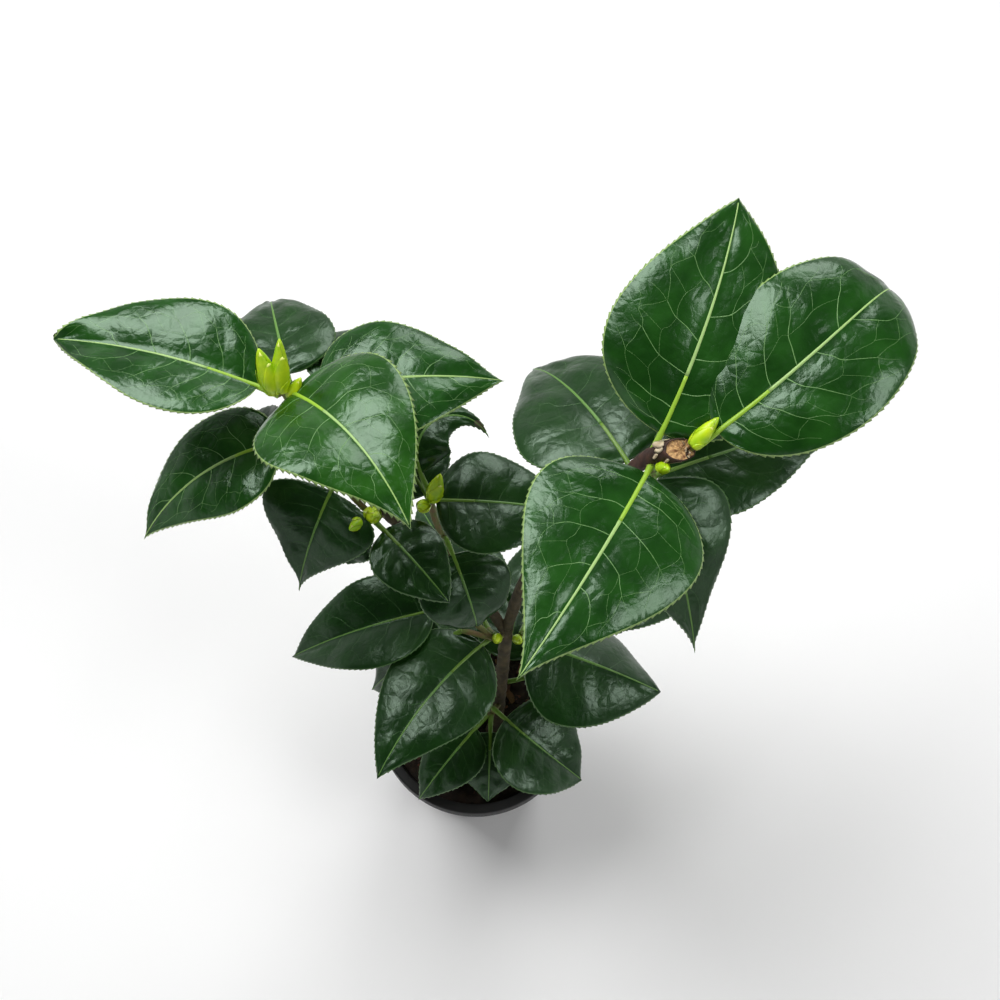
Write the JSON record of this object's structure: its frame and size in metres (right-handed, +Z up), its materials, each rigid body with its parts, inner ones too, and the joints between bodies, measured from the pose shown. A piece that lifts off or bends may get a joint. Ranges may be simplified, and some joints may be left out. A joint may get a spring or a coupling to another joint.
{
  "type": "potted camellia shrub",
  "caption": "Young camellia shrub with a leaning forked stem and masses of broad glossy evergreen leaves, rooted in compost in a round black nursery pot.",
  "frame": {"origin": "centre of the pot's flat underside", "axes": "+Z up along the pot's axis, +X to the right and +Y away from whoever faces the side that the stem leans away from"},
  "size_m": [0.2813, 0.1645, 0.3663],
  "materials": {
    "pot_plastic": "black moulded polypropylene, dull with fine scuffs",
    "compost": "dark damp potting compost with reddish-brown bark chips",
    "bark": "greenish-brown young bark, finely ridged",
    "foliage": "glossy dark green upper side, pale green veins, paler matte underside"
  },
  "bodies": {
    "root": {"pot": "pot_plastic", "soil": "compost", "trunk": "bark", "right_bough": "bark", "left_bough": "bark", "right_crown": "foliage", "left_crown": "foliage", "centre": "foliage", "left_middle": "foliage", "right_middle": "foliage", "low_left": "foliage", "low_right": "foliage", "base_front": "foliage", "base_back": "foliage"}
  },
  "joints": []
}
